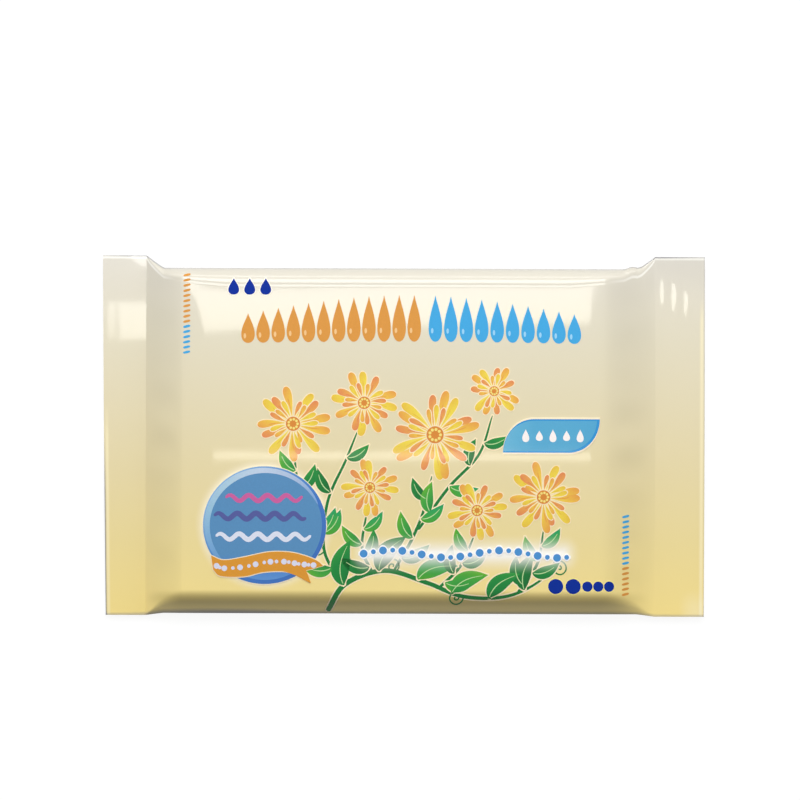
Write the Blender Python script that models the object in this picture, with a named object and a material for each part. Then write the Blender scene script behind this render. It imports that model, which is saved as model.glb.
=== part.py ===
"""A sealed pack of folded wet wipes: one film tube with a seam down its back and a flat seal at each end.

The pack lies on its back. +X runs along its length, +Y to the top of its front, and +Z out of the front.
The origin is under the middle of the pack, on the surface that it lies on. All sizes are in metres.
"""

import bmesh
import bpy
import numpy as np

# Film tube and its two end seals
PACK_LENGTH = 0.200
TUBE_FLAT_WIDTH = 0.1195
FILM_THICKNESS = 0.0002
LEFT_SEAL_WIDTH = 0.0145
RIGHT_SEAL_WIDTH = 0.0165
LEFT_CUT_LEAN = 0.0013
LEFT_SEAL_BOW = 0.0030
RIGHT_SEAL_BOW = 0.0023

# Crimp ribs pressed along each end seal, and how the left seal turns down in its corners beside the body
RIB_PITCH = 0.0043
RIB_HEIGHT = 0.000015
CURL_HEIGHT = 0.00012
CURL_WIDTH = 0.0080
CURL_LENGTH = 0.0080

# Body, filled by the stack of wipes
STACK_THICKNESS = 0.0120
FRONT_CROWN = 0.0024
CROWN_RUN = 0.0230
TOP_INSET = 0.0041
BOTTOM_INSET = 0.0008
INSET_RUN = 0.0060

# End slopes: the length of each, and the powers that shape its foot (1 is a crease) and its shoulder
LEFT_SLOPE_RUN = 0.0125
LEFT_SLOPE_FOOT = 1.0
LEFT_SLOPE_SHOULDER = 1.4
RIGHT_SLOPE_RUN = 0.0180
RIGHT_SLOPE_FOOT = 1.7
RIGHT_SLOPE_SHOULDER = 1.9

# Side walls, and how far each one takes to open out of its two corners
TOP_WALL_RUN = 0.0054
BOTTOM_WALL_RUN = 0.0058
BOTTOM_SHOULDER_SOFTNESS = 0.0020
TOP_CORNER_RUN = 0.0280
BOTTOM_LEFT_CORNER_RUN = 0.0130
BOTTOM_RIGHT_CORNER_RUN = 0.0180

# Folds: a long one on the top shoulder, a tuck in the top right corner, and pleats up the end slopes
FOLD_DEPTH = 0.00006
FOLD_HALF_WIDTH = 0.0009
TUCK_HEIGHT = 0.0008
TUCK_HALF_LENGTH = 0.0032
TUCK_FROM_SEAL = 0.0074
PLEAT_DEPTH = 0.00020
PLEAT_SPACING = 0.0190

# Seam down the back, folded flat to one side, with the film dented beside it
SEAM_WIDTH = 0.0100
SEAM_ROOT = 0.0030
SEAM_DENT_RUN = 0.0080

# Where the loft's mesh lines lie
SLOPE_STATIONS = 14
BODY_STATIONS = 18
STATIONS_A_RIB = 4
LEAST_WALL = 0.0006
WALL_STEPS = (0.0, 0.03, 0.12, 0.28, 0.50, 0.75)
SHOULDER_STEPS = (0.86, 1.0, 1.15, 1.32)
FOLD_STEPS = (-1.0, -0.5, 0.0, 0.5, 1.0)
FACE_LINES = 26
BACK_LINES = 3
DENT_LINES = 3

HALF_LENGTH = PACK_LENGTH / 2
HALF_WIDTH = TUBE_FLAT_WIDTH / 2
HALF_STACK = STACK_THICKNESS / 2
SEAM_THICKNESS = 2 * FILM_THICKNESS
LEFT_ROOT = LEFT_SEAL_WIDTH - HALF_LENGTH
RIGHT_ROOT = HALF_LENGTH - RIGHT_SEAL_WIDTH
SEAL_HEIGHT = HALF_STACK + FILM_THICKNESS
SEAM_EDGE = SEAM_ROOT - SEAM_WIDTH


def climb(share, power):
    """A rise from 0 to 1 that starts steep and lands level: 1 less the power of (1 - share)."""
    return 1 - (1 - np.clip(share, 0, 1)) ** power


def bell(distance):
    """A smooth bump, 1 high at distance 0 and gone at distance 1: the square of (1 - distance squared)."""
    return np.clip(1 - distance**2, 0, 1) ** 2


def soft_least(a, b, softness):
    """The lesser of a and b, with the corner between them rounded over softness."""
    near = np.clip(1 - np.abs(a - b) / softness, 0, 1)
    return np.minimum(a, b) - softness * near**2 / 4


def from_root(x):
    """How far x lies inside the body from the nearer end seal. It is 0 on a seal."""
    return max(min(x - LEFT_ROOT, RIGHT_ROOT - x), 0.0)


def slope_share(x):
    """How far x lies along the nearer end slope: 0 at the seal, and 1 where the stack fills the tube."""
    return min(from_root(x) / (LEFT_SLOPE_RUN if x < 0 else RIGHT_SLOPE_RUN), 1.0)


def slope(x):
    """The end slopes' height, as a share of the full height: each is a climb of a power of its share."""
    if x < 0:
        return climb(slope_share(x) ** LEFT_SLOPE_FOOT, LEFT_SLOPE_SHOULDER)
    return climb(slope_share(x) ** RIGHT_SLOPE_FOOT, RIGHT_SLOPE_SHOULDER)


def edges(x):
    """The pack's lowest and highest y at x. The stack draws the flat tube in, and the tuck lets it out a little."""
    drawn_in = climb(from_root(x) / INSET_RUN, 1.1)
    tuck = TUCK_HEIGHT * bell((RIGHT_ROOT - TUCK_FROM_SEAL - x) / TUCK_HALF_LENGTH)
    return -HALF_WIDTH + BOTTOM_INSET * drawn_in, HALF_WIDTH - TOP_INSET * drawn_in + tuck


def walls(x):
    """The widths of the bottom and top side walls, seen from the front. The top one opens fast out of its corners."""
    bottom_run = BOTTOM_LEFT_CORNER_RUN if x < 0 else BOTTOM_RIGHT_CORNER_RUN
    bottom = BOTTOM_WALL_RUN * climb(from_root(x) / bottom_run, 1.7)
    top = TOP_WALL_RUN * min(from_root(x) / TOP_CORNER_RUN, 1.0) ** 0.35
    return max(bottom, LEAST_WALL), max(top, LEAST_WALL)


def ribs(x):
    """The crimp ribs' height at x: a whole number of sine waves across each seal."""
    if LEFT_ROOT <= x <= RIGHT_ROOT:
        return 0.0
    width = LEFT_SEAL_WIDTH if x < 0 else RIGHT_SEAL_WIDTH
    count = max(round(width / RIB_PITCH), 1)
    return RIB_HEIGHT / 2 * np.sin(2 * np.pi * count * (HALF_LENGTH - abs(x)) / width)


def curl(x, y):
    """How far the left seal's corners turn down: a bump across the seal's root, growing as a square along y."""
    along = np.clip((np.abs(y) - HALF_WIDTH) / CURL_LENGTH + 1, 0, None) ** 2
    return CURL_HEIGHT * along * bell((x - LEFT_ROOT) / CURL_WIDTH)


def middle_height(x, y):
    """The height of the plane where the two films meet. Each seal has its ribs, and bows down to its corners."""
    bow = (LEFT_SEAL_BOW if x < 0 else RIGHT_SEAL_BOW) * (y / HALF_WIDTH) ** 2 * (1 - slope(x))
    return SEAL_HEIGHT + ribs(x) - bow - curl(x, y)


def pleats(x, y):
    """Soft pleats that start at an end seal and fade out on the body: two sine waves along the seal."""
    turn = 2 * np.pi * y / PLEAT_SPACING + np.sign(x)
    return PLEAT_DEPTH * (np.cos(turn) + np.cos(1.4 * turn)) / 2 * np.sin(np.pi * slope_share(x)) ** 2


def fullness(x, y):
    """How much of its full height the film has at y: 0 at the edges, and 1 inside the walls.

    The top wall is a quarter of an ellipse. The bottom wall is nearly straight, with a rounded foot and shoulder."""
    low, high = edges(x)
    bottom, top = walls(x)
    top_share = np.clip((high - y) / top, 0, 1)
    bottom_share = np.clip((y - low) / bottom, 0, None) ** 0.9
    return np.sqrt(1 - (1 - top_share) ** 2) * soft_least(bottom_share, 1, BOTTOM_SHOULDER_SOFTNESS / HALF_STACK)


def middle_share(x, y):
    """A share that is 0 at the pack's two edges and 1 half way between them: 1 less the square of the distance."""
    low, high = edges(x)
    return np.clip(1 - ((2 * y - low - high) / (high - low)) ** 2, 0, 1)


def fold_place(x):
    """The middle and the half width of the long fold. It lies on the top shoulder and narrows with the wall."""
    top = walls(x)[1]
    return edges(x)[1] - top, FOLD_HALF_WIDTH * top / TOP_WALL_RUN


def front_height(x, y):
    """The front film: the filled tube with its crown, the long fold on its top shoulder, and pleats at its ends."""
    fold_middle, fold_half = fold_place(x)
    crown = FRONT_CROWN * middle_share(x, y) * climb(from_root(x) / CROWN_RUN, 2.0)
    fold = FOLD_DEPTH * slope(x) * bell((y - fold_middle) / fold_half)
    filled = HALF_STACK * slope(x) * fullness(x, y) + crown - fold + pleats(x, y) * middle_share(x, y)
    return middle_height(x, y) + FILM_THICKNESS + filled


def back_height(x, y):
    """The back film: level where the pack rests, and dented beside the seam so that the seam lies flush."""
    beside = np.clip(np.maximum(SEAM_EDGE - y, y - SEAM_ROOT), 0, None)
    dent = SEAM_THICKNESS * bell(beside / SEAM_DENT_RUN)
    return middle_height(x, y) - FILM_THICKNESS - slope(x) * (HALF_STACK * fullness(x, y) - dent)


def between(start, end, count):
    """Evenly spaced values after start and before end."""
    return [start + (end - start) * n / (count + 1) for n in range(1, count + 1)]


def front_line_places(x):
    """The y of each mesh line over the front, from the bottom edge to the top edge."""
    low, high = edges(x)
    bottom, top = walls(x)
    fold_middle, fold_half = fold_place(x)
    rising = [low + bottom * step for step in WALL_STEPS + SHOULDER_STEPS]
    fold_lines = [fold_middle + fold_half * step for step in FOLD_STEPS]
    falling = [high - top * step for step in WALL_STEPS]
    return np.array(sorted(rising + between(rising[-1], fold_lines[0], FACE_LINES) + fold_lines + falling))


def back_line_places(x):
    """The y of each mesh line over the back, from the top edge to the seam and from the seam to the bottom edge."""
    low, high = edges(x)
    bottom, top = walls(x)
    upper = [high - top * step for step in WALL_STEPS + SHOULDER_STEPS]
    lower = [low + bottom * step for step in WALL_STEPS + SHOULDER_STEPS]
    for lines, seam, dent in ((upper, SEAM_ROOT, SEAM_DENT_RUN), (lower, SEAM_EDGE, -SEAM_DENT_RUN)):
        lines += between(lines[-1], seam + dent, BACK_LINES) + [seam + dent]
        lines += between(seam + dent, seam, DENT_LINES)
    return np.array(upper), np.array(lower[::-1])


def ring(x):
    """One closed outline round the pack at x: up over the front, and down the back under the folded seam."""
    front = front_line_places(x)
    upper, lower = back_line_places(x)
    seam = np.array([SEAM_ROOT, SEAM_ROOT, SEAM_EDGE, SEAM_EDGE])
    y = np.concatenate([front, upper, seam, lower])
    seam_height = back_height(x, seam) - np.array([0, 1, 1, 0]) * SEAM_THICKNESS
    z = np.concatenate([front_height(x, front), back_height(x, upper), seam_height, back_height(x, lower)])
    lean = LEFT_CUT_LEAN * max(LEFT_ROOT - x, 0) / LEFT_SEAL_WIDTH
    return np.column_stack([x + lean * (HALF_WIDTH - y) / TUBE_FLAT_WIDTH, y, z])


def stations():
    """The x of each ring: a few to a rib on the seals, closest where an end slope starts, and wide on the body."""
    places = []
    for side, width, run in ((-1, LEFT_SEAL_WIDTH, LEFT_SLOPE_RUN), (1, RIGHT_SEAL_WIDTH, RIGHT_SLOPE_RUN)):
        count = max(round(width / RIB_PITCH), 1) * STATIONS_A_RIB
        places += [side * (HALF_LENGTH - width * n / count) for n in range(count)]
        root = HALF_LENGTH - width
        places += [side * (root - run * (n / SLOPE_STATIONS) ** 1.4) for n in range(SLOPE_STATIONS)]
    left, right = LEFT_ROOT + LEFT_SLOPE_RUN, RIGHT_ROOT - RIGHT_SLOPE_RUN
    return sorted(places + [left, right] + between(left, right, BODY_STATIONS))


def loft(rings):
    """One closed mesh skinned over the rings, with a flat cap on the first and the last."""
    mesh = bmesh.new()
    loops = [[mesh.verts.new(point) for point in one] for one in rings]
    for near, far in zip(loops, loops[1:]):
        for n in range(len(near)):
            mesh.faces.new((near[n - 1], near[n], far[n], far[n - 1]))
    mesh.faces.new(loops[0])
    mesh.faces.new(loops[-1])
    bmesh.ops.recalc_face_normals(mesh, faces=mesh.faces)
    return mesh


def film_material():
    """Glossy laminated film, printed pale cream."""
    material = bpy.data.materials.new("laminated_film")
    material.use_nodes = True
    shader = material.node_tree.nodes["Principled BSDF"]
    shader.inputs["Base Color"].default_value = (0.78, 0.69, 0.42, 1.0)
    shader.inputs["Roughness"].default_value = 0.2
    shader.inputs["Metallic"].default_value = 0.0
    return material


def make_pack():
    """The whole pack as one named object, shaded smooth but for its cut edges and the seam's steps."""
    mesh = loft([ring(x) for x in stations()])
    data = bpy.data.meshes.new("wipes_pack")
    mesh.to_mesh(data)
    mesh.free()
    data.shade_smooth()
    data.set_sharp_from_angle(angle=np.radians(35))
    data.materials.append(film_material())
    pack = bpy.data.objects.new("wipes_pack", data)
    bpy.context.scene.collection.objects.link(pack)


for old in list(bpy.data.objects):
    bpy.data.objects.remove(old)
make_pack()
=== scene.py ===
import bpy
import numpy as np
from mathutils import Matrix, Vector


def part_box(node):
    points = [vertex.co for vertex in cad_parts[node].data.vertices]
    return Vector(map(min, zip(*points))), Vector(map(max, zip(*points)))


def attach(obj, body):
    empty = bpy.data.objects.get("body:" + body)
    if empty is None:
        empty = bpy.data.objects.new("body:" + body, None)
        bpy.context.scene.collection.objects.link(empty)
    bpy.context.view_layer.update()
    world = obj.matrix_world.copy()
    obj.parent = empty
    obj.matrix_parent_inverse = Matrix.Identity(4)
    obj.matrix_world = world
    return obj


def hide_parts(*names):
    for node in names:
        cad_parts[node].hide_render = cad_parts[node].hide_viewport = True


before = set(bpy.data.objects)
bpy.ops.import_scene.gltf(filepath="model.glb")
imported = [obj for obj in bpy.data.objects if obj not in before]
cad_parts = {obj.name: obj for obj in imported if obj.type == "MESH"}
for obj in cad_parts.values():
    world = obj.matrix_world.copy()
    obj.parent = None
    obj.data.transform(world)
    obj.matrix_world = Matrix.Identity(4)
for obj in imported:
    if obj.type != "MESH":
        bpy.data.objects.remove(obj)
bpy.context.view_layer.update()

MM = 0.001

# The solid's own sizes, in metres. Length, width and height come from the frame.
HIGH = np.array(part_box("wipes_pack"))[1]
HALF_LENGTH, HALF_WIDTH = HIGH[0], HIGH[1]
FILM_THICKNESS = 0.2 * MM
LEFT_SEAL_WIDTH = 14.5 * MM
RIGHT_SEAL_WIDTH = 16.5 * MM
LEFT_CUT_LEAN = 1.3 * MM
LEFT_SEAL_BOW = 3.0 * MM
RIGHT_SEAL_BOW = 2.3 * MM
RIB_PITCH = 4.3 * MM
RIB_HEIGHT = 0.015 * MM
PRESSED_RIBS, STREAK_RIBS = 0.15, 6.0
CURL_HEIGHT = 0.12 * MM
CURL_WIDTH = 8.0 * MM
CURL_LENGTH = 8.0 * MM
FRONT_CROWN = 2.4 * MM
CROWN_RUN = 23.0 * MM
TOP_INSET = 4.1 * MM
BOTTOM_INSET = 0.8 * MM
INSET_RUN = 6.0 * MM
LEFT_SLOPE_RUN = 12.5 * MM
LEFT_SLOPE_FOOT = 1.0
LEFT_SLOPE_SHOULDER = 1.4
RIGHT_SLOPE_RUN = 18.0 * MM
RIGHT_SLOPE_FOOT = 1.7
RIGHT_SLOPE_SHOULDER = 1.9
TOP_WALL_RUN = 5.4 * MM
BOTTOM_WALL_RUN = 5.8 * MM
BOTTOM_SHOULDER_SOFTNESS = 2.0 * MM
TOP_CORNER_RUN = 28.0 * MM
BOTTOM_LEFT_CORNER_RUN = 13.0 * MM
BOTTOM_RIGHT_CORNER_RUN = 18.0 * MM
FOLD_DEPTH = 0.06 * MM
FOLD_HALF_WIDTH = 0.9 * MM
TUCK_HEIGHT = 0.8 * MM
TUCK_HALF_LENGTH = 3.2 * MM
TUCK_FROM_SEAL = 7.4 * MM
PLEAT_DEPTH = 0.2 * MM
PLEAT_SPACING = 19.0 * MM
SEAM_WIDTH = 10.0 * MM
SEAM_ROOT = 3.0 * MM
SEAM_DENT_RUN = 8.0 * MM
LEAST_WALL = 0.6 * MM

HALF_STACK = (HIGH[2] - FRONT_CROWN - 2 * FILM_THICKNESS) / 2
SEAM_THICKNESS = 2 * FILM_THICKNESS
LEFT_ROOT = LEFT_SEAL_WIDTH - HALF_LENGTH
RIGHT_ROOT = HALF_LENGTH - RIGHT_SEAL_WIDTH
SEAL_HEIGHT = HALF_STACK + FILM_THICKNESS
SEAM_EDGE = SEAM_ROOT - SEAM_WIDTH

# Film mesh: lines along the pack and round it
SEAL_LINES = 36
SLOPE_LINES = 42
BODY_LINES = 130
WALL_LINES = 24
FACE_LINES = 170
BACK_WALL_LINES = 12
BACK_FACE_LINES = 22
DENT_LINES = 8

# Print relief: how far ink stands above the film, and what each layer and each neighbour adds
PRINT_LIFT = 0.030 * MM
PRINT_SINK = 0.060 * MM
LAYER_STEP = 0.009 * MM
NEIGHBOUR_STEP = 0.0008 * MM
NEIGHBOURS = 7

# Print, placed in millimetres from the middle of the front: +x along the pack, +y to its top
BADGE_CENTRE, BADGE_RADII = (-45.8, -29.6), (20.4, 19.5)
TAG_LEFT, TAG_RIGHT, TAG_LOW, TAG_HIGH, TAG_ROUND = 33.0, 65.0, -5.3, 5.8, 10.2
DOT_ROW_START, DOT_ROW_END, DOT_ROW_Y, DOT_ROW_WAVE = -13.0, 54.2, -38.9, 1.2
OUTLINE = 0.42
LEAF_LAYER, PETAL_LAYER, FIELD_LAYER = 2, 4, 14
PETAL_POINTS, PETAL_LINES = 13, 7
DROP_POINTS = 22

# Colours. The film's own go from its top edge to its bottom edge
FILM_TONES = ("#DCD7CB", "#DDD6BF", "#E1D6B3", "#E5D6A5", "#EDDA97", "#FAE28D")
TITLE_ORANGE, RIBBON_ORANGE, SKY_BLUE, NAVY = "#DB9848", "#DB9212", "#46A8E0", "#0A2F96"

# Gloss: the weight of the clear coat over the film, and over the dark inks of stems and leaves
FILM_GLOSS, LEAF_GLOSS = 0.8, 0.3
SHARP_ANGLE = np.radians(35)

# How the photograph frames the pack: pixels to a millimetre, the pack's middle and its slight turn
PICTURE_SIZE = 800
PIXELS_A_MM = 3.0125
PACK_MIDDLE_PIXEL = (403.3, 436.1)
PACK_TURN_DEGREES = 0.19


# The film's shape

def climb(share, power):
    """A rise from 0 to 1 that starts steep and lands level: 1 less the power of (1 - share)."""
    return 1 - (1 - np.clip(share, 0, 1)) ** power


def bell(distance):
    """A smooth bump, 1 high at distance 0 and gone at distance 1: the square of (1 - distance squared)."""
    return np.clip(1 - distance**2, 0, 1) ** 2


def soft_least(a, b, softness):
    """The lesser of a and b, with the corner between them rounded over softness."""
    near = np.clip(1 - np.abs(a - b) / softness, 0, 1)
    return np.minimum(a, b) - softness * near**2 / 4


def from_root(x):
    """How far x lies inside the body from the nearer end seal. It is 0 on a seal."""
    return np.clip(np.minimum(x - LEFT_ROOT, RIGHT_ROOT - x), 0, None)


def slope_share(x):
    """How far x lies along the nearer end slope: 0 at the seal, and 1 where the stack fills the tube."""
    return np.clip(from_root(x) / np.where(x < 0, LEFT_SLOPE_RUN, RIGHT_SLOPE_RUN), 0, 1)


def slope(x):
    """The end slopes' height, as a share of the full height: each is a climb of a power of its share."""
    left = climb(slope_share(x) ** LEFT_SLOPE_FOOT, LEFT_SLOPE_SHOULDER)
    right = climb(slope_share(x) ** RIGHT_SLOPE_FOOT, RIGHT_SLOPE_SHOULDER)
    return np.where(x < 0, left, right)


def edges(x):
    """The pack's lowest and highest y at x. The stack draws the flat tube in, and the tuck lets it out."""
    drawn_in = climb(from_root(x) / INSET_RUN, 1.1)
    tuck = TUCK_HEIGHT * bell((RIGHT_ROOT - TUCK_FROM_SEAL - x) / TUCK_HALF_LENGTH)
    return -HALF_WIDTH + BOTTOM_INSET * drawn_in, HALF_WIDTH - TOP_INSET * drawn_in + tuck


def walls(x):
    """The widths of the bottom and top side walls, seen from the front. The top one opens out fast."""
    bottom_run = np.where(x < 0, BOTTOM_LEFT_CORNER_RUN, BOTTOM_RIGHT_CORNER_RUN)
    bottom = BOTTOM_WALL_RUN * climb(from_root(x) / bottom_run, 1.7)
    top = TOP_WALL_RUN * np.clip(from_root(x) / TOP_CORNER_RUN, 0, 1) ** 0.35
    return np.maximum(bottom, LEAST_WALL), np.maximum(top, LEAST_WALL)


def ribs(x, y):
    """The crimp ribs: a whole number of sine waves across each seal, and 0 between the seals.

    They are pressed nearly flat on the left, and on the right they show near the top only, in a
    band that falls towards the cut."""
    width = np.where(x < 0, LEFT_SEAL_WIDTH, RIGHT_SEAL_WIDTH)
    wave = np.sin(2 * np.pi * np.round(width / RIB_PITCH) * (HALF_LENGTH - np.abs(x)) / width)
    band_middle = 49.5 - 0.53 * (x - RIGHT_ROOT) / MM
    streaks = bell((y / MM - band_middle) / 6.5) * bell((x / MM - 90.5) / 8.0)
    left = PRESSED_RIBS * (x < LEFT_ROOT)
    right = (PRESSED_RIBS + STREAK_RIBS * streaks) * (x > RIGHT_ROOT)
    return RIB_HEIGHT / 2 * wave * (left + right)


def curl(x, y):
    """How far the left seal's corners turn down: a bump across its root, growing as a square along y."""
    along = np.clip((np.abs(y) - HALF_WIDTH) / CURL_LENGTH + 1, 0, None) ** 2
    return CURL_HEIGHT * along * bell((x - LEFT_ROOT) / CURL_WIDTH)


def middle_height(x, y):
    """The height where the two films meet. Each seal has its ribs, and bows down to its corners."""
    bow = np.where(x < 0, LEFT_SEAL_BOW, RIGHT_SEAL_BOW) * (y / HALF_WIDTH) ** 2 * (1 - slope(x))
    return SEAL_HEIGHT + ribs(x, y) - bow - curl(x, y)


def pleats(x, y):
    """Soft pleats that start at an end seal and fade out on the body: two sine waves along the seal."""
    turn = 2 * np.pi * y / PLEAT_SPACING + np.sign(x)
    return PLEAT_DEPTH * (np.cos(turn) + np.cos(1.4 * turn)) / 2 * np.sin(np.pi * slope_share(x)) ** 2


def fullness(x, y):
    """How much of its full height the film has at y: 0 at the edges, and 1 inside the walls.

    The top wall is a quarter of an ellipse. The bottom wall is nearly straight, with a rounded foot
    and shoulder."""
    low, high = edges(x)
    bottom, top = walls(x)
    top_share = np.clip((high - y) / top, 0, 1)
    bottom_share = np.clip((y - low) / bottom, 0, None) ** 0.9
    bottom_rise = soft_least(bottom_share, 1, BOTTOM_SHOULDER_SOFTNESS / HALF_STACK)
    return np.sqrt(1 - (1 - top_share) ** 2) * bottom_rise


def middle_share(x, y):
    """A share, 0 at the pack's two edges and 1 half way between: 1 less the square of the distance."""
    low, high = edges(x)
    return np.clip(1 - ((2 * y - low - high) / (high - low)) ** 2, 0, 1)


def front_height(x, y):
    """The front film: the filled tube with its crown, the fold on its top shoulder, and its pleats."""
    high, top = edges(x)[1], walls(x)[1]
    crown = FRONT_CROWN * middle_share(x, y) * climb(from_root(x) / CROWN_RUN, 2.0)
    fold_half = FOLD_HALF_WIDTH * top / TOP_WALL_RUN
    fold = FOLD_DEPTH * slope(x) * bell((y - high + top) / fold_half)
    filled = HALF_STACK * slope(x) * fullness(x, y) + crown - fold + pleats(x, y) * middle_share(x, y)
    return middle_height(x, y) + FILM_THICKNESS + filled


def back_height(x, y):
    """The back film: level where the pack rests, and dented beside the seam so that the seam lies flush."""
    beside = np.clip(np.maximum(SEAM_EDGE - y, y - SEAM_ROOT), 0, None)
    dent = SEAM_THICKNESS * bell(beside / SEAM_DENT_RUN)
    return middle_height(x, y) - FILM_THICKNESS - slope(x) * (HALF_STACK * fullness(x, y) - dent)


def ends_close(count, closeness=0.6):
    """Shares from 0 to 1 that lie closer together towards both ends: even steps less a share of a sine."""
    even = np.linspace(0, 1, count)
    return even - closeness * np.sin(2 * np.pi * even) / (2 * np.pi)


def film_stations():
    """The x of each ring of the film: even on the body, closest at each cut and each slope's foot."""
    along_seal = np.linspace(0, 1, SEAL_LINES, endpoint=False) ** 1.4
    left_seal = -HALF_LENGTH + LEFT_SEAL_WIDTH * along_seal
    right_seal = (HALF_LENGTH - RIGHT_SEAL_WIDTH * along_seal)[::-1]
    along_slope = np.linspace(0, 1, SLOPE_LINES, endpoint=False) ** 1.3
    left_slope = LEFT_ROOT + LEFT_SLOPE_RUN * along_slope
    right_slope = (RIGHT_ROOT - RIGHT_SLOPE_RUN * along_slope)[::-1]
    body = np.linspace(LEFT_ROOT + LEFT_SLOPE_RUN, RIGHT_ROOT - RIGHT_SLOPE_RUN, BODY_LINES)
    return np.concatenate([left_seal, left_slope, body, right_slope, right_seal])


def film_grid():
    """The whole film as rings round the pack: x along it, and up the front and down the back across it."""
    x = film_stations()[:, None]
    low, high = edges(x)
    bottom, top = walls(x)
    wall = np.linspace(0, 1, WALL_LINES) ** 1.8
    front = np.hstack([
        low + bottom * wall[:-1],
        low + bottom + (high - top - low - bottom) * ends_close(FACE_LINES),
        high - top * wall[-2::-1],
    ])
    back_wall = np.linspace(0, 1, BACK_WALL_LINES) ** 1.8
    back_face = ends_close(BACK_FACE_LINES)
    dent = SEAM_DENT_RUN * np.linspace(1, 0, DENT_LINES, endpoint=False)
    dent = np.broadcast_to(dent, (len(x), DENT_LINES))
    upper = np.hstack([
        high - top * back_wall[:-1],
        high - top + (SEAM_ROOT + SEAM_DENT_RUN - high + top) * back_face[:-1],
        SEAM_ROOT + dent,
    ])
    lower = np.hstack([
        low + bottom * back_wall[:-1],
        low + bottom + (SEAM_EDGE - SEAM_DENT_RUN - low - bottom) * back_face[:-1],
        SEAM_EDGE - dent,
    ])[:, ::-1]
    seam = np.broadcast_to([SEAM_ROOT, SEAM_ROOT, SEAM_EDGE, SEAM_EDGE], (len(x), 4))
    seam_height = back_height(x, seam) - SEAM_THICKNESS * np.array([0, 1, 1, 0])
    y = np.hstack([front, upper, seam, lower])
    z = np.hstack([front_height(x, front), back_height(x, upper), seam_height, back_height(x, lower)])
    lean = LEFT_CUT_LEAN * np.clip(LEFT_ROOT - x, 0, None) / LEFT_SEAL_WIDTH
    return np.stack([x + lean * (HALF_WIDTH - y) / (2 * HALF_WIDTH), y, z], axis=-1)


# Meshes

def make_object(name, points, faces, material):
    """A smooth-shaded piece of the pack, its sharp edges kept, that rides on the pack's body."""
    mesh = bpy.data.meshes.new(name)
    mesh.from_pydata(points.reshape(-1, 3).tolist(), [], faces)
    mesh.materials.append(material)
    mesh.shade_smooth()
    mesh.set_sharp_from_angle(angle=SHARP_ANGLE)
    piece = bpy.data.objects.new(name, mesh)
    bpy.context.scene.collection.objects.link(piece)
    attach(piece, "root")
    return piece


def film_faces(rings, count):
    """Quads between each ring and the next, and one flat face on each cut end."""
    index = np.arange(rings * count).reshape(rings, count)
    onward = np.roll(index, -1, axis=1)
    quads = np.stack([index[:-1], index[1:], onward[1:], onward[:-1]], axis=-1).reshape(-1, 4)
    return quads.tolist() + [index[0].tolist(), index[-1, ::-1].tolist()]


def patch_faces(rows, columns):
    """Quads of a thin closed patch: a top grid, the same grid below facing down, and a wall round it."""
    index = np.arange(rows * columns).reshape(rows, columns)
    top = np.stack([index[:-1, :-1], index[1:, :-1], index[1:, 1:], index[:-1, 1:]], axis=-1).reshape(-1, 4)
    rim = np.concatenate([index[:, 0], index[-1, 1:], index[-2::-1, -1], index[0, -2:0:-1]])
    onward = np.roll(rim, -1)
    wall = np.stack([onward, rim, rim + index.size, onward + index.size], axis=-1)
    return np.concatenate([top, top[:, ::-1] + index.size, wall])


def facing_up(plan):
    """The same patch, its lines in the order that makes its top face up: by the sign of its cells."""
    along, across = plan[1:, 0] - plan[:-1, 0], plan[:-1, -1] - plan[:-1, 0]
    area = np.sum(along[:, 0] * across[:, 1] - along[:, 1] * across[:, 0])
    return plan if area > 0 else plan[:, ::-1]


def print_piece(name, patches, material):
    """One piece of print: each patch lies a hair above the front film, and is closed a hair below it.

    A patch is its plan in millimetres, its ink and its layer. Neighbours in one layer differ by a
    hair in height."""
    points, faces, inks, start = [], [], [], 0
    for number, (plan, ink, layer) in enumerate(patches):
        ink = np.broadcast_to(ink, plan.shape[:2] + (3,))
        if facing_up(plan) is not plan:
            plan, ink = plan[:, ::-1], ink[:, ::-1]
        x, y = plan[..., 0] * MM, plan[..., 1] * MM
        height = front_height(x, y)
        lift = PRINT_LIFT + layer * LAYER_STEP + number % NEIGHBOURS * NEIGHBOUR_STEP
        above = np.stack([x, y, height + lift], axis=-1)
        below = np.stack([x, y, height - PRINT_SINK], axis=-1)
        points += [above.reshape(-1, 3), below.reshape(-1, 3)]
        inks += [ink.reshape(-1, 3)] * 2
        faces.append(patch_faces(*plan.shape[:2]) + start)
        start += 2 * plan.shape[0] * plan.shape[1]
    piece = make_object(name, np.concatenate(points), np.concatenate(faces).tolist(), material)
    set_ink(piece, np.concatenate(inks))


def set_ink(piece, inks):
    """Keep the ink of each of a piece's points with its mesh."""
    colours = piece.data.color_attributes.new("ink", "FLOAT_COLOR", "POINT")
    rgba = np.hstack([inks.reshape(-1, 3), np.ones((len(piece.data.vertices), 1))])
    colours.data.foreach_set("color", rgba.ravel())


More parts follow.
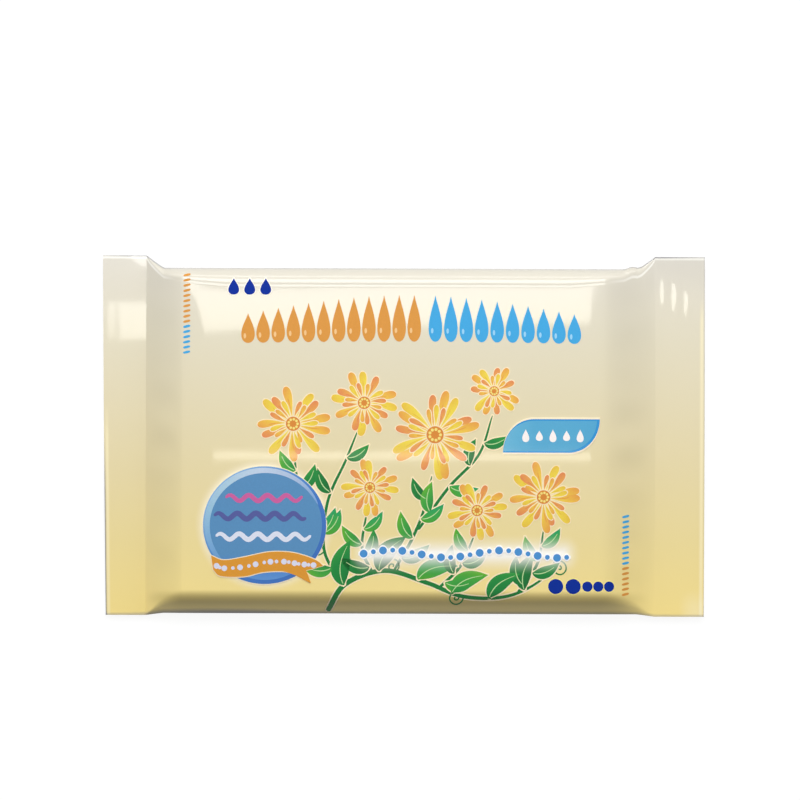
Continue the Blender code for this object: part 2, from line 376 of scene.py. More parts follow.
def film_ink_and_painted_light(points):
    """The printed ground of the film, in millimetres: cream that deepens to pale yellow, and over it
    painted shade and painted highlights.

    Painted shade: grey lines along the folded edges and the cuts, most of all near the corners, a faint
    grey over the top of the right seal, and brown down the bottom wall's shoulder. Painted highlights:
    pale lines beside the two cuts, a pale bottom right corner, and nearly white lines over the crests
    of the top corners and along the top of the seals."""
    along = points[..., 0]
    x, y = along / MM, points[..., 1] / MM
    low, high = (edge / MM for edge in edges(along))
    half_length, half_width = HALF_LENGTH / MM, HALF_WIDTH / MM
    from_left = x + half_length - LEFT_CUT_LEAN / MM * (half_width - y) / (2 * half_width)
    from_right = half_length - x
    # Painted shade: grey lines along the folded top and bottom edges, the left cut's lower half and the
    # right cut, and a faint grey over the top of the right seal
    painted_shade = bell((high - y) / 0.7) * (0.35 + 0.60 * bell((np.abs(x) - 85) / 14))
    painted_shade += bell((y - low) / (1.1 + 1.0 * bell((x + 60) / 36))) * (0.55 + 0.40 * bell((x + 55) / 45))
    painted_shade += 1.0 * bell(from_left / 0.7) * np.clip(-y / 20, 0, 1) + 0.4 * bell(from_right / 0.4)
    painted_shade += 0.13 * bell((high - y) / 16) * np.clip((x - 80) / 4, 0, 1)
    front = points[..., 2] > middle_height(along, points[..., 1])
    # Painted shade: brown down the front's bottom wall, where the film turns away from the light
    painted_bottom_shade = 0.62 * bell((y + 54.2) / 3.4) * slope(along) * front
    # Painted highlights: pale lines beside the two cuts, and a pale patch at the bottom right corner
    painted_highlight = 0.6 * bell((from_left - 1.0) / 0.8) * np.clip((10 - y) / 10, 0, 1)
    painted_highlight += 0.6 * bell((from_right - 1.0) / 0.9) * np.clip((46 - y) / 8, 0, 1)
    painted_highlight += 0.4 * bell((from_right - 3) / 6) * bell((y + 58) / 8)
    # Painted highlight: nearly white lines over the crests of the top corners and along the top of the
    # seals, on the front film only
    crest = (y - high + walls(along)[1] / MM) / 0.7
    corner = np.where(x < 0, 11.0, 19.0)
    painted_crest_highlight = bell(crest) * bell(from_root(along) / MM / corner) * front
    ink = ink_blend(FILM_TONES, (half_width - y) / (2 * half_width))
    # Mix the painted highlights and the painted shade over the printed ground
    for amount, code in ((painted_crest_highlight, "#FFFDF4"), (painted_highlight, "#FFF3C8"), (painted_bottom_shade, "#A8923F"), (painted_shade, "#8D8C8E")):
        share = np.clip(amount, 0, 1)[..., None]
        ink = ink * (1 - share) + linear(code) * share
    return ink


# Colours and materials

def linear(code):
    """The linear values of an sRGB hex code."""
    value = np.array([int(code[n:n + 2], 16) for n in (1, 3, 5)]) / 255
    return np.where(value <= 0.04045, value / 12.92, ((value + 0.055) / 1.055) ** 2.4)


def ink_blend(codes, share):
    """Ink that passes evenly through the given hex colours as share goes from 0 to 1."""
    stops = np.array([linear(code) for code in codes])
    place = np.clip(share, 0, 1) * (len(codes) - 1)
    return np.stack([np.interp(place, np.arange(len(codes)), stops[:, n]) for n in range(3)], axis=-1)


def add(tree, kind, values=None, **settings):
    """Add a node with its settings. A value that is a node's output is linked, and any other is set."""
    node = tree.nodes.new(kind)
    for name, value in settings.items():
        setattr(node, name, value)
    for name, value in (values or {}).items():
        if isinstance(value, bpy.types.NodeSocket):
            tree.links.new(value, node.inputs[name])
        else:
            node.inputs[name].default_value = value
    return node


def new_material(name):
    """A material with an empty node tree but for its Principled shader."""
    material = bpy.data.materials.new(name)
    material.use_nodes = True
    return material, material.node_tree, material.node_tree.nodes["Principled BSDF"]


def vector_step(tree, operation, *values):
    """One step of vector arithmetic."""
    return add(tree, "ShaderNodeVectorMath", dict(enumerate(values)), operation=operation).outputs[0]


def fade(tree, vector, near, far, power):
    """A share that falls from 1 to 0 as the vector's length goes from near to far, to a power."""
    length = add(tree, "ShaderNodeVectorMath", {0: vector}, operation="LENGTH")
    share = add(tree, "ShaderNodeMapRange", {"Value": length.outputs["Value"], "From Min": near,
                                             "From Max": far, "To Min": 1.0, "To Max": 0.0})
    powered = add(tree, "ShaderNodeMath", {0: share.outputs["Result"], 1: power}, operation="POWER")
    return powered.outputs[0]


def badge_glow(tree, place):
    """A share that fades outside the badge's rim: the distance is measured on the badge's ellipse."""
    centre = (BADGE_CENTRE[0] * MM, BADGE_CENTRE[1] * MM, 0)
    scale = (1 / BADGE_RADII[0] / MM, 1 / BADGE_RADII[1] / MM, 0)
    offset = vector_step(tree, "SUBTRACT", place, centre)
    return fade(tree, vector_step(tree, "MULTIPLY", offset, scale), 1.0, 1.16, 2.0)


def paler(tree, colour, amount, most, code):
    """A colour mixed towards a hex colour by an amount from 0 to 1, which counts for the given most."""
    share = add(tree, "ShaderNodeMath", {0: amount, 1: most}, operation="MULTIPLY").outputs[0]
    mix = add(tree, "ShaderNodeMix", {0: share, 6: colour, 7: (*linear(code), 1.0)}, data_type="RGBA")
    return mix.outputs[2]


def whitened(tree, colour, place):
    """A colour under the soft white that lies over film and leaves along the row of dots.

    The white is full on a box 1.6 mm high along the row, and fades over 6.2 mm round it."""
    middle, half = (DOT_ROW_START + DOT_ROW_END) / 2, (DOT_ROW_END - DOT_ROW_START) / 2
    offset = vector_step(tree, "SUBTRACT", place, (middle * MM, DOT_ROW_Y * MM, 0))
    distance = vector_step(tree, "ABSOLUTE", offset)
    beyond = vector_step(tree, "SUBTRACT", distance, ((half - 1.0) * MM, 0.8 * MM, 1.0))
    outside = vector_step(tree, "MAXIMUM", beyond, (0, 0, 0))
    return paler(tree, colour, fade(tree, outside, 0.0, 6.2 * MM, 1.9), 0.9, "#FFFDF8")


def glossy_film_finish(tree, shader, place, gloss=FILM_GLOSS):
    """Clear gloss of a laminated film over its print: a smooth coat with faint waves.

    Broad waves 14 mm wide press through from the wipes. Lengthwise creases 3 mm apart run beside the
    top shoulder, deeper to the right. Both are a few thousandths of a millimetre high."""
    broad = add(tree, "ShaderNodeTexNoise", {"Vector": place, "Scale": 1 / (14 * MM), "Detail": 0.0})
    long_way = add(tree, "ShaderNodeMapping",
                   {"Vector": place, "Scale": (1 / (40 * MM), 1 / (3.2 * MM), 1 / (40 * MM))})
    creases = add(tree, "ShaderNodeTexNoise",
                  {"Vector": long_way.outputs["Vector"], "Scale": 1.0, "Detail": 1.0})
    axes = add(tree, "ShaderNodeSeparateXYZ", {"Vector": place})
    near_top = add(tree, "ShaderNodeMapRange",
                   {"Value": axes.outputs["Y"], "From Min": 30 * MM, "From Max": 46 * MM})
    to_right = add(tree, "ShaderNodeMapRange",
                   {"Value": axes.outputs["X"], "From Min": -5 * MM, "From Max": 45 * MM,
                    "To Min": 0.4, "To Max": 1.0})
    depth = add(tree, "ShaderNodeMath", {0: near_top.outputs["Result"], 1: to_right.outputs["Result"]},
                operation="MULTIPLY")
    height = add(tree, "ShaderNodeMath",
                 {0: depth.outputs[0], 1: creases.outputs["Fac"], 2: broad.outputs["Fac"]},
                 operation="MULTIPLY_ADD")
    bump = add(tree, "ShaderNodeBump",
               {"Height": height.outputs[0], "Strength": 1.0, "Distance": 0.008 * MM})
    tree.links.new(bump.outputs["Normal"], shader.inputs["Normal"])
    tree.links.new(bump.outputs["Normal"], shader.inputs["Coat Normal"])
    shader.inputs["Roughness"].default_value = 0.38
    shader.inputs["IOR"].default_value = 1.45
    shader.inputs["Specular IOR Level"].default_value = 0.2
    shader.inputs["Coat Weight"].default_value = gloss
    shader.inputs["Coat Roughness"].default_value = 0.05
    shader.inputs["Coat IOR"].default_value = 1.5


def laminated_film():
    """White film, reverse printed and laminated, paler round the badge and the row of dots."""
    material, tree, shader = new_material("laminated_film")
    place = add(tree, "ShaderNodeTexCoord").outputs["Object"]
    # The film's ink attribute holds its printed ground with painted shade and painted highlights along its
    # edges, cuts and crests
    ground = add(tree, "ShaderNodeAttribute", attribute_name="ink").outputs["Color"]
    colour = paler(tree, ground, badge_glow(tree, place), 0.8, "#FCF2DA")
    tree.links.new(whitened(tree, colour, place), shader.inputs["Base Color"])
    glossy_film_finish(tree, shader, place)
    return material


def mottled_ink(tree, place, grain, least, most):
    """The piece's own ink, darker and lighter by turns in grains of the given width in millimetres."""
    ink = add(tree, "ShaderNodeAttribute", attribute_name="ink").outputs["Color"]
    noise = add(tree, "ShaderNodeTexNoise", {"Vector": place, "Scale": 1 / (grain * MM), "Detail": 2.0})
    spread = add(tree, "ShaderNodeMapRange",
                 {"Value": noise.outputs["Fac"], "To Min": least, "To Max": most})
    mottled = add(tree, "ShaderNodeHueSaturation", {"Value": spread.outputs["Result"], "Color": ink})
    return mottled.outputs["Color"]


def gravure_ink(name, under_glow=False, gloss=FILM_GLOSS):
    """Gravure ink under the film's gloss: the piece's own colour, with the faint mottle of its cells.

    Real cells are 0.15 mm wide. They are drawn 0.6 mm wide, so that they show. Less gloss leaves
    dark ink deeper."""
    material, tree, shader = new_material(name)
    place = add(tree, "ShaderNodeTexCoord").outputs["Object"]
    colour = mottled_ink(tree, place, 0.6, 0.92, 1.06)
    if under_glow:
        colour = whitened(tree, colour, place)
    tree.links.new(colour, shader.inputs["Base Color"])
    glossy_film_finish(tree, shader, place, gloss)
    return material


def matt_ink(name):
    """Opaque matt ink on top of the film, which keeps its full colour where the film shines."""
    material, tree, shader = new_material(name)
    place = add(tree, "ShaderNodeTexCoord").outputs["Object"]
    tree.links.new(mottled_ink(tree, place, 0.5, 0.95, 1.04), shader.inputs["Base Color"])
    shader.inputs["Roughness"].default_value = 0.7
    shader.inputs["IOR"].default_value = 1.45
    shader.inputs["Specular IOR Level"].default_value = 0.15
    return material


# Shapes of the print, in millimetres in plan

def unit(vectors):
    """The same directions with length 1."""
    return vectors / np.maximum(np.linalg.norm(vectors, axis=-1, keepdims=True), 1e-6)


def carry(path, half_width, lines=5):
    """A flat profile carried along a path: the path plus shares of the half width to both its sides."""
    ahead = unit(np.gradient(path, axis=0))
    side = np.stack([-ahead[:, 1], ahead[:, 0]], axis=1)
    share = np.linspace(-1, 1, lines)[None, :, None]
    width = np.broadcast_to(half_width, len(path))[:, None, None]
    return path[:, None, :] + share * width * side[:, None, :]


def ruled(lower, upper, lines=5):
    """A field ruled straight across from each point of one path to the same point of another."""
    share = np.linspace(0, 1, lines)[None, :, None]
    return lower[:, None] * (1 - share) + upper[:, None] * share


def smooth(points, count):
    """A smooth path through a few points. At each one it heads from the point before to the point after."""
    p = np.array(points, float)
    p = np.vstack([2 * p[0] - p[1], p, 2 * p[-1] - p[-2]])
    place = np.linspace(0, len(points) - 1.001, count)
    first = place.astype(int)
    t = (place - first)[:, None]
    a, b, c, d = (p[first + n] for n in range(4))
    return (2 * b + (c - a) * t + (2 * a - 5 * b + 4 * c - d) * t**2 + (3 * b - a - 3 * c + d) * t**3) / 2


def turned(points, centre, angle):
    """Points turned by an angle about the origin, then moved to a centre."""
    c, s = np.cos(angle), np.sin(angle)
    return points @ np.array([[c, s], [-s, c]]) + centre


def taper(share, start_power, end_power):
    """A width that grows and shrinks along a path: share and its remainder, each to a power, at most 1."""
    widest = start_power / (start_power + end_power)
    most = widest**start_power * (1 - widest) ** end_power
    return np.clip(share**start_power * (1 - share) ** end_power / most, 0.02, 1)


def round_end(count):
    """Shares from 0 to 1 that lie closer together near 1: 1 less the square of what is left."""
    return 1 - np.linspace(1, 0.02, count) ** 2


def grown(plan, margin):
    """The same field, larger by a margin: lines across are longer, and the first and last moved out."""
    across = unit(plan[:, -1] - plan[:, 0])
    share = np.linspace(-1, 1, plan.shape[1])[None, :, None]
    larger = plan + margin * share * across[:, None]
    middle = plan.mean(axis=1)
    larger[0] -= margin * unit(middle[1] - middle[0])
    larger[-1] += margin * unit(middle[-1] - middle[-2])
    return larger


def outlined(plan, ink, layer, code="#FAE7C0", margin=OUTLINE):
    """A printed field on the pale outline that is left round it."""
    return [(grown(plan, margin), linear(code), layer), (plan, ink, layer + 1)]


def spot(centre, radius_x, radius_y=None, count=15, lines=7):
    """A round or oval spot: its half width is the circle's chord along the middle line."""
    angle = np.linspace(0.05, np.pi - 0.05, count)
    path = np.stack([centre[0] - radius_x * np.cos(angle), np.full(count, centre[1])], axis=1)
    return carry(path, (radius_y or radius_x) * np.sin(angle), lines)


def drop(centre, length, width):
    """A drop, pointed at the top and round at the bottom."""
    share = round_end(DROP_POINTS)
    path = np.stack([np.zeros(DROP_POINTS), (0.5 - share) * length], axis=1)
    return carry(path + centre, width / 2 * taper(share, 1.2, 0.5), 7)


def wave(start, end, y, height, length, half_width, ends=(0.2, 0.2)):
    """A wavy line: a sine of the given height and wave length, which thins out at its ends."""
    count = int((end - start) / length * 24)
    x = np.linspace(start, end, count)
    path = np.stack([x, y + height * np.sin(2 * np.pi * (x - start) / length)], axis=1)
    return carry(path, half_width * taper(np.linspace(0, 1, count), *ends), 5)


def petal(centre, angle, inner, outer, width, bend, lines=PETAL_LINES):
    """A petal from an inner to an outer radius, narrow at its root, that bends a little sideways."""
    share = round_end(PETAL_POINTS)
    radius = inner + (outer - inner) * share
    path = np.stack([radius * np.cos(bend * share), radius * np.sin(bend * share)], axis=1)
    return carry(turned(path, centre, angle), width / 2 * taper(share, 1.5, 0.45), lines)


def petal_ink(codes):
    """A petal's ink: through the given colours from root to tip, and a little further on one side."""
    share = round_end(PETAL_POINTS)[:, None]
    side = np.linspace(0, 0.25, PETAL_LINES)[None, :]
    return ink_blend(codes, 0.8 * share + side)


def bloom(centre, radius, count, turn):
    """A daisy: a ring of slender petals in three tones, a shorter ring between them, and a dotted heart."""
    patches = []
    rings = ((1.0, 0.45, PETAL_LAYER), (0.66, 0.40, PETAL_LAYER + 3))
    for ring, (reach, width_share, layer) in enumerate(rings):
        for n in range(count):
            angle = turn + 2 * np.pi * (n + 0.5 * ring + 0.14 * np.sin(5.0 * n + radius)) / count
            outer = radius * reach * (1 - 0.12 * (n % 3 == 1) - 0.06 * (n % 4 == 2))
            width = 2 * np.pi * outer / count * width_share
            bend = 0.16 * np.sin(2.3 * n + radius)
            codes = PETAL_TONES[(2 * n + ring) % len(PETAL_TONES)]
            shape = petal(centre, angle, 0.15 * radius, outer, width, bend)
            patches += outlined(shape, petal_ink(codes), layer, margin=0.30)
            vein = petal(centre, angle, 0.22 * radius, 0.70 * outer, 0.34, bend, lines=2)
            patches.append((vein, linear(codes[-1]), layer + 2))
    heart = spot(centre, 0.19 * radius, count=21)
    patches += outlined(heart, linear("#D8841E"), PETAL_LAYER + 6, margin=0.25)
    for n in range(9):
        angle = 2 * np.pi * n / 9
        place = (centre[0] + 0.12 * radius * np.cos(angle), centre[1] + 0.12 * radius * np.sin(angle))
        dot = spot(place, 0.028 * radius + 0.08, count=7, lines=3)
        patches.append((dot, linear("#F5E27A"), PETAL_LAYER + 8))
    return patches


def leaf(base, angle, length, width, bend, codes, lines=9):
    """A leaf along a curved midrib, left pale. Its ink changes towards the tip and towards one side."""
    share = np.linspace(0, 1, 5 + 2 * lines)
    path = np.stack([length * share, bend * length * np.sin(np.pi * share**0.8)], axis=1)
    path = turned(path, base, angle)
    across = np.linspace(0, 1, lines)[None, :] * 0.4 + 0.6 * share[:, None]
    blade = carry(path, width / 2 * taper(share, 0.7, 1.05), lines)
    midrib = carry(path, 0.15 * taper(share, 0.3, 0.8), 3)[1:-5]
    return outlined(blade, ink_blend(codes, across), LEAF_LAYER) + [
        (midrib, linear("#BFE0A0"), LEAF_LAYER + 2)]


def stroke(points, half_width, ink, layer, ends=(0.25, 0.25)):
    """An outlined line of ink through a few points, with a point each 0.4 mm. It thins out at its ends."""
    count = int(np.sum(np.linalg.norm(np.diff(np.array(points, float), axis=0), axis=1)) / 0.4)
    path = smooth(points, count)
    return outlined(carry(path, half_width * taper(np.linspace(0, 1, count), *ends), 5), ink, layer)


# The print itself. Flowers, stems and leaves are a design of their own, in the colours and at the
# scale of such packs.

GREENS = (
    ["#00702C", "#0B8236", "#2F9A3A"],
    ["#0A8038", "#3CA03A", "#6DB426"],
    ["#4E9F1A", "#2FA048", "#0A9868"],
    ["#005F26", "#03742E", "#1C8C3A"],
)
PETAL_TONES = (
    ["#F2D850", "#EEC23C", "#E5983A"],
    ["#F5E470", "#F0D63E", "#E6BC30"],
    ["#F0CC4A", "#E8A344", "#E08048"],
)
BLOOMS = (
    ((-36.5, 4.0), 12.5, 13, 0.2),
    ((-13.0, 11.0), 11.0, 12, 0.5),
    ((10.5, 0.5), 15.0, 15, 0.1),
    ((30.0, 15.0), 8.8, 11, 0.9),
    ((46.5, -20.0), 12.0, 13, 0.3),
    ((24.5, -24.5), 10.0, 12, 0.7),
    ((-11.0, -17.0), 9.6, 12, 0.4),
)
VINE = ((-25, -58.2), (-19, -49), (-6, -44.5), (8, -48.5), (20, -53.0), (34, -53.0), (45, -48.0),
        (50, -41.5))
BRANCHES = (
    ((-19.5, -49.5), (-26, -38), (-25, -22), (-19, -8), (-15, 2)),
    ((-26, -38), (-31, -24), (-35, -14), (-36, -6)),
    ((-10, -45.5), (-13.5, -37), (-12, -25)),
    ((-3, -44.6), (3, -34), (7, -24), (9.5, -13)),
    ((5, -31), (15, -17), (25, -6), (29.5, 7)),
    ((12, -50.2), (19, -43), (23.5, -33)),
    ((38, -51.8), (44.5, -42), (46.5, -31)),
)
TENDRILS = (
    ((-6, -44.5), 3.0, 0.5),
    ((20, -53.0), 2.6, 3.3),
    ((50, -41.5), 2.8, -0.9),
    ((-26, -38), 3.0, 2.7),
)


def print_blossoms():
    """Seven daisies."""
    patches = []
    for centre, radius, count, turn in BLOOMS:
        patches += bloom(np.array(centre), radius, count, turn)
    return patches


def print_stems():
    """One long vine along the bottom, branches up to the blossoms, and curled tendrils."""
    green = linear("#04742F")
    patches = stroke(VINE, 0.85, green, 0, ends=(0.05, 0.5))
    for points in BRANCHES:
        patches += stroke(points, 0.5, green, 0, ends=(0.1, 0.3))
    for base, reach, angle in TENDRILS:
        turn = np.linspace(0, 1.6 * 2 * np.pi, 70)
        radius = reach * (1 - turn / turn[-1]) ** 0.8
        spiral = np.stack([reach - radius * np.cos(turn), radius * np.sin(turn)], axis=1)
        patches.append((carry(turned(spiral, base, angle), 0.24, 3), green, 1))
    return patches


def print_leaves():
    """Leaves on alternate sides of the vine and the branches, larger and darker on the vine."""
    patches = []
    for number, points in enumerate((VINE,) + BRANCHES):
        on_vine = number == 0
        spacing, reach, lines = (0.13, 15.5, 17) if on_vine else (0.21, 10.5, 9)
        path = smooth(points, 200)
        ahead = np.gradient(path, axis=0)
        for n, share in enumerate(np.arange(0.14, 0.92, spacing)):
            at = int(share * 199)
            low = on_vine and path[at, 1] < -46.5
            side = 1 if low or (n + number) % 2 else -1
            heading = np.arctan2(ahead[at, 1], ahead[at, 0])
            angle = heading + side * (0.75 + 0.2 * np.sin(3.0 * n + number))
            length = reach * (1 - 0.25 * share)
            codes = GREENS[(3 * n) % 4 if on_vine else (n + number) % 4]
            patches += leaf(path[at], angle, length, 0.42 * length, 0.14 * side, codes, lines)
    return patches


def print_badge():
    """A glossy blue disc: a deep rim, an even field, a pale crescent of shine, and three wavy lines."""
    cx, cy = BADGE_CENTRE
    rx, ry = BADGE_RADII
    rim = spot((cx, cy), rx, ry, count=61, lines=31)
    fall = ((rim[..., 0] - cx) / rx - (rim[..., 1] - cy) / ry) * 0.4 + 0.5
    field = spot((cx, cy), 0.93 * rx, 0.93 * ry, count=61, lines=31)
    low = (cy - field[..., 1]) / ry
    rim_ink = ink_blend(["#7FAEDD", "#4F8BCB", "#2F70C0", "#2A68B8"], fall)
    field_ink = ink_blend(["#4B88B9", "#4B88B9", "#4B88B9", "#3F80CC", "#5C95D2"], low)
    patches = outlined(rim, rim_ink, FIELD_LAYER, "#FBEFCB", 0.30)
    patches.append((field, field_ink, FIELD_LAYER + 2))
    angle = np.linspace(np.radians(22), np.radians(238), 90)
    arc = np.stack([cx + (rx - 1.35) * np.cos(angle), cy + (ry - 1.35) * np.sin(angle)], axis=1)
    share = np.linspace(0, 1, 90)
    shine = carry(arc, 0.95 * taper(share, 0.5, 0.4), 5)
    codes = ["#6F9BD2", "#A9BEDD", "#BFD0E6", "#A8CBE0", "#93C0DC", "#6FA4D4", "#4F8AC4"]
    patches.append((shine, ink_blend(codes, share)[:, None], FIELD_LAYER + 3))
    for start, end, y, half_width, code in (
        (-58.8, -33.2, -20.6, 0.80, "#C8559A"),
        (-62.6, -32.0, -26.6, 0.95, "#454F95"),
        (-62.0, -30.4, -33.4, 0.85, "#DDE2F2"),
    ):
        line = wave(start, end, y, 0.95, 6.2, half_width)
        patches.append((line, linear(code), FIELD_LAYER + 4))
    return patches


def print_ribbon():
    """An orange ribbon across the badge: a wavy band, pointed at its right end, with a tail under it."""
    upper = smooth(((-63.5, -39.7), (-59.3, -41.2), (-52.6, -40.2), (-44.5, -38.5), (-37.7, -38.5),
                    (-32.7, -39.6), (-28.6, -41.2), (-26.4, -42.9)), 70)
    lower = smooth(((-62.8, -44.4), (-60.2, -46.5), (-52.6, -46.6), (-46.5, -45.2), (-40.5, -44.8),
                    (-36.0, -45.2), (-31.2, -44.3), (-26.8, -43.1)), 70)
    orange = linear(RIBBON_ORANGE)
    patches = outlined(ruled(lower, upper, 7), orange, FIELD_LAYER + 5, margin=0.30)
    tail_left = smooth(((-40.0, -44.7), (-35.5, -46.2), (-30.6, -48.8)), 20)
    tail_right = smooth(((-36.0, -43.8), (-32.6, -43.9), (-30.5, -48.4)), 20)
    patches.append((ruled(tail_left, tail_right, 5), orange, FIELD_LAYER + 6))
    middle = (lower + upper) / 2
    for n, at in enumerate(np.linspace(5, 60, 17).astype(int)):
        dot = spot(middle[at], 0.95 if n % 2 == 0 else 0.6, count=11, lines=5)
        patches.append((dot, linear("#D9DCF0"), FIELD_LAYER + 7))
    return patches


def tag_field(left, right, low, high, rounding):
    """A leaf-like field: sharp at bottom left and top right, its other corners rounded by an ellipse."""
    x = left + (right - left) * (1 - np.cos(np.linspace(0.03, np.pi - 0.03, 70))) / 2
    rise = np.clip((x - left) / rounding, 0, 1)
    fall = np.clip((right - x) / rounding, 0, 1)
    upper = low + (high - low) * np.sqrt(1 - (1 - rise) ** 2)
    lower = high - (high - low) * np.sqrt(1 - (1 - fall) ** 2)
    return ruled(np.stack([x, lower], axis=1), np.stack([x, upper], axis=1), 9)


def print_tag():
    """A light blue tag with a deep blue edge at its top, bottom and right, and a row of white drops."""
    edge = tag_field(TAG_LEFT, TAG_RIGHT, TAG_LOW, TAG_HIGH, TAG_ROUND)
    field = tag_field(TAG_LEFT + 0.15, TAG_RIGHT - 1.0, TAG_LOW + 0.55, TAG_HIGH - 0.55, TAG_ROUND)
    across = (field[..., 0] - TAG_LEFT) / (TAG_RIGHT - TAG_LEFT)
    field_ink = ink_blend(["#62B4D6", "#4BA6CF", "#4BA6CF", "#45A2CE"], across)
    patches = outlined(edge, linear("#0F8ED0"), FIELD_LAYER, "#FCEBCB", 0.6)
    patches.append((field, field_ink, FIELD_LAYER + 2))
    for n in range(5):
        white_drop = drop((40.5 + 4.5 * n, 0.3), 4.2 if n % 2 == 0 else 3.4, 2.3)
        patches.append((white_drop, linear("#FBF3F0"), FIELD_LAYER + 3))
    return patches


def print_drops():
    """A row of drops that swells to its middle, orange and then sky blue, each with a small light spot."""
    patches = []
    for first, last, count, codes, start, end in (
        (-51.5, 3.5, 12, (TITLE_ORANGE, "#F0C68C"), 0.0, 0.52),
        (10.5, 56.5, 10, (SKY_BLUE, "#9AD2F2"), 0.58, 1.0),
    ):
        for n, share in enumerate(np.linspace(start, end, count)):
            x = first + (last - first) * n / (count - 1)
            length = 9.8 + 5.6 * np.sin(np.pi * share)
            y = 35.6 + 3.4 * np.sin(np.pi * share)
            patches.append((drop((x, y), length, 4.5), linear(codes[0]), 0))
            light = (x - 1.05, y - 0.26 * length)
            patches.append((spot(light, 0.42, 0.9, count=9, lines=5), linear(codes[1]), 1))
    return patches


def print_dot_row():
    """A wavy row of blue dots, large and small in turn, each with a white outline."""
    patches = []
    count = 22
    for n, x in enumerate(np.linspace(DOT_ROW_START, DOT_ROW_END, count)):
        y = DOT_ROW_Y + DOT_ROW_WAVE * np.sin(0.55 * n)
        dot = spot((x, y), 1.3 if n % 2 == 0 else 0.8, count=15, lines=7)
        patches += outlined(dot, linear("#3A8CD0"), FIELD_LAYER, "#FFFFFF", 0.5)
    return patches


def print_navy_marks():
    """Navy drops near the top left corner, and navy dots near the bottom right one, on a pale outline."""
    patches = []
    for x in (-56.3, -51.0, -45.7):
        patches += outlined(drop((x, 49.4), 5.4, 3.6), linear(NAVY), 0, "#FBF6E6", 0.3)
    for x, radius in ((50.6, 2.5), (56.4, 2.5), (61.1, 1.7), (64.7, 1.7), (68.3, 1.7)):
        dot = spot((x, -49.6), radius, count=31, lines=21)
        patches += outlined(dot, linear(NAVY), 0, "#F8E890", 0.4)
    return patches


def print_side_rows():
    """A column of short slanted dashes down each end of the front, in orange and sky blue."""
    patches = []
    count, share = 16, np.linspace(0, 1, 9)
    for x, top, bottom, first, last in (
        (-71.8, 53.2, 27.6, TITLE_ORANGE, SKY_BLUE),
        (73.8, -26.4, -52.2, SKY_BLUE, TITLE_ORANGE),
    ):
        for n, y in enumerate(np.linspace(top, bottom, count)):
            code = first if n < 0.58 * count else last
            path = np.stack([x + 2.5 * (share - 0.5), y + 0.6 * (share - 0.5)], axis=1)
            patches.append((carry(path, 0.42 * taper(share, 0.3, 0.3), 3), linear(code), 0))
    return patches


# Scene

def build_pack():
    """The printed film, which stands for the solid, and each part of its print."""
    grid = film_grid()
    film = make_object("printed_film", grid, film_faces(*grid.shape[:2]), laminated_film())
    set_ink(film, film_ink_and_painted_light(grid))
    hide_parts("wipes_pack")
    leafy = gravure_ink("leaf_ink", under_glow=True, gloss=LEAF_GLOSS)
    over = gravure_ink("field_ink")
    matt = matt_ink("matt_ink")
    print_piece("print_stems", print_stems(), leafy)
    print_piece("print_leaves", print_leaves(), leafy)
    print_piece("print_blossoms", print_blossoms(), gravure_ink("flower_ink", under_glow=True))
    print_piece("print_badge", print_badge(), over)
    print_piece("print_ribbon", print_ribbon(), over)
    print_piece("print_tag", print_tag(), over)
    print_piece("print_dot_row", print_dot_row(), over)
    print_piece("print_drops", print_drops(), matt)
    print_piece("print_navy_marks", print_navy_marks(), matt)
    print_piece("print_side_rows", print_side_rows(), matt)


def place_lamp(name, lamp, place, colour, turn=0.0):
    """Put a lamp in the scene, tilted towards the pack and turned in plan. The camera doesn't see it."""
    lamp.color = colour
    thing = bpy.data.objects.new(name, lamp)
    thing.location = place
    thing.rotation_euler = (-np.arctan2(place[1], place[2] - SEAL_HEIGHT), 0, turn)
    thing.visible_camera = False
    bpy.context.scene.collection.objects.link(thing)
    return thing


def area_lamp(name, place, size, radiance, colour=(1.0, 1.0, 1.0), turn=0.0):
    """A soft rectangular lamp that faces the pack. Its power is set from the brightness of its face."""
    lamp = bpy.data.lights.new(name, "AREA")
    lamp.shape = "RECTANGLE"
    lamp.size, lamp.size_y = size
    lamp.energy = radiance * size[0] * size[1] * np.pi
    place_lamp(name, lamp, place, colour, turn)


def side_lamp(name, place, radius, radiance):
    """A round lamp that fills an end slope and leaves no reflection. Its power is set in the same way."""
    lamp = bpy.data.lights.new(name, "POINT")
    lamp.shadow_soft_size = radius
    lamp.energy = radiance * 4 * (np.pi * radius) ** 2
    place_lamp(name, lamp, place, (1.0, 1.0, 1.0)).visible_glossy = False


def seen_ray(tree):
    """1 for camera, glossy and transmission rays, and 0 for the diffuse rays that light the pack."""
    path = add(tree, "ShaderNodeLightPath")
    seen = add(tree, "ShaderNodeMath", {0: path.outputs["Is Camera Ray"], 1: path.outputs["Is Glossy Ray"]},
               operation="MAXIMUM")
    seen = add(tree, "ShaderNodeMath", {0: seen.outputs[0], 1: path.outputs["Is Transmission Ray"]},
               operation="MAXIMUM")
    return seen.outputs[0]


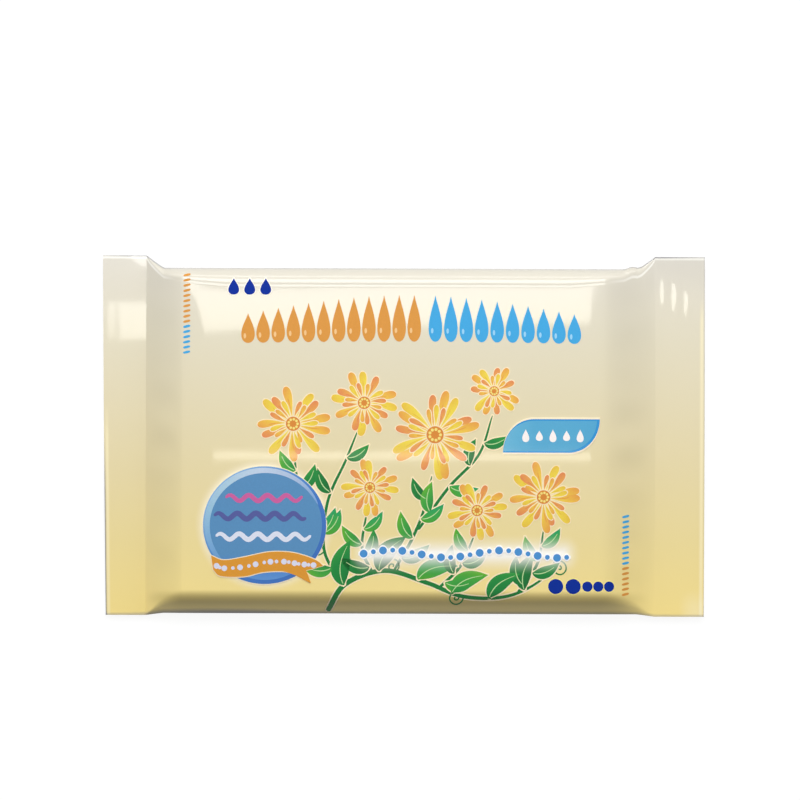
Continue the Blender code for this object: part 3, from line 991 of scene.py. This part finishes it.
def build_floor():
    """A pale floor. The camera and reflections see it as white, a little darker in the pack's shadow."""
    half_size = 6.0
    corners = np.array([[-1, -1, 0], [1, -1, 0], [1, 1, 0], [-1, 1, 0]]) * half_size
    corners[:, 2] = -0.02 * MM
    mesh = bpy.data.meshes.new("floor")
    mesh.from_pydata(corners.tolist(), [], [(0, 1, 2, 3)])
    floor = bpy.data.objects.new("floor", mesh)
    bpy.context.scene.collection.objects.link(floor)
    material, tree, shader = new_material("pale_floor")
    shader.inputs["Base Color"].default_value = (0.12, 0.12, 0.12, 1.0)
    shader.inputs["Roughness"].default_value = 0.9
    shader.inputs["Specular IOR Level"].default_value = 0.0
    painted_crest_highlight = add(tree, "ShaderNodeEmission", {"Color": (1, 1, 1, 1), "Strength": 0.93})
    shaded = add(tree, "ShaderNodeBsdfDiffuse", {"Color": (0.11, 0.11, 0.11, 1.0)})
    both = add(tree, "ShaderNodeAddShader", {0: painted_crest_highlight.outputs[0], 1: shaded.outputs[0]})
    mix = add(tree, "ShaderNodeMixShader", {0: seen_ray(tree), 1: shader.outputs[0], 2: both.outputs[0]})
    tree.links.new(mix.outputs[0], tree.nodes["Material Output"].inputs["Surface"])
    mesh.materials.append(material)


def build_world():
    """A white surround that lights the pack only softly."""
    world = bpy.data.worlds.new("studio")
    world.use_nodes = True
    tree = world.node_tree
    soft = tree.nodes["Background"]
    soft.inputs["Color"].default_value = (1, 1, 1, 1)
    soft.inputs["Strength"].default_value = 0.05
    painted_crest_highlight = add(tree, "ShaderNodeBackground", {"Color": (1, 1, 1, 1), "Strength": 1.0})
    mix = add(tree, "ShaderNodeMixShader", {0: seen_ray(tree), 1: soft.outputs[0], 2: painted_crest_highlight.outputs[0]})
    tree.links.new(mix.outputs[0], tree.nodes["World Output"].inputs["Surface"])
    bpy.context.scene.world = world


def build_lamps():
    """A soft key and a low rim beyond the top edge, two panels that the front mirrors, and side lamps."""
    warm = (1.0, 0.97, 0.88)
    area_lamp("key", (0, 0.95, 1.55), (1.5, 1.06), 5.95)
    area_lamp("rim", (0, 1.2, 0.44), (2.8, 0.12), 5.6)
    area_lamp("panel", (-0.0180, 0.184, 1.0), (0.234, 0.059), 7.0, warm, np.radians(4.0))
    area_lamp("strip", (0.0085, -0.028, 1.0), (0.207, 0.0105), 6.8, warm)
    side_lamp("left_side", (-1.25, 0.25, 0.7), 0.30, 4.0)
    side_lamp("right_side", (1.25, 0.25, 0.7), 0.30, 4.0)


def build_camera():
    """Straight above the pack through a long lens, framed and turned as the photograph frames the pack."""
    distance, sensor = 2.5, 36.0
    camera = bpy.data.cameras.new("camera")
    camera.sensor_width = sensor
    camera.lens = sensor * distance / (PICTURE_SIZE / PIXELS_A_MM * MM)
    camera.clip_start, camera.clip_end = 0.1, 20.0
    thing = bpy.data.objects.new("camera", camera)
    turn = np.radians(PACK_TURN_DEGREES)
    right = np.array([np.cos(turn), np.sin(turn), 0])
    up = np.array([-np.sin(turn), np.cos(turn), 0])
    from_middle = (PICTURE_SIZE / 2 - np.array(PACK_MIDDLE_PIXEL)) / PIXELS_A_MM * MM
    thing.location = right * from_middle[0] - up * from_middle[1] + np.array([0, 0, distance + SEAL_HEIGHT])
    thing.rotation_euler = (0, 0, turn)
    bpy.context.scene.collection.objects.link(thing)
    bpy.context.scene.camera = thing


build_pack()
build_floor()
build_world()
build_lamps()
build_camera()
bpy.context.scene.view_settings.view_transform = "Standard"
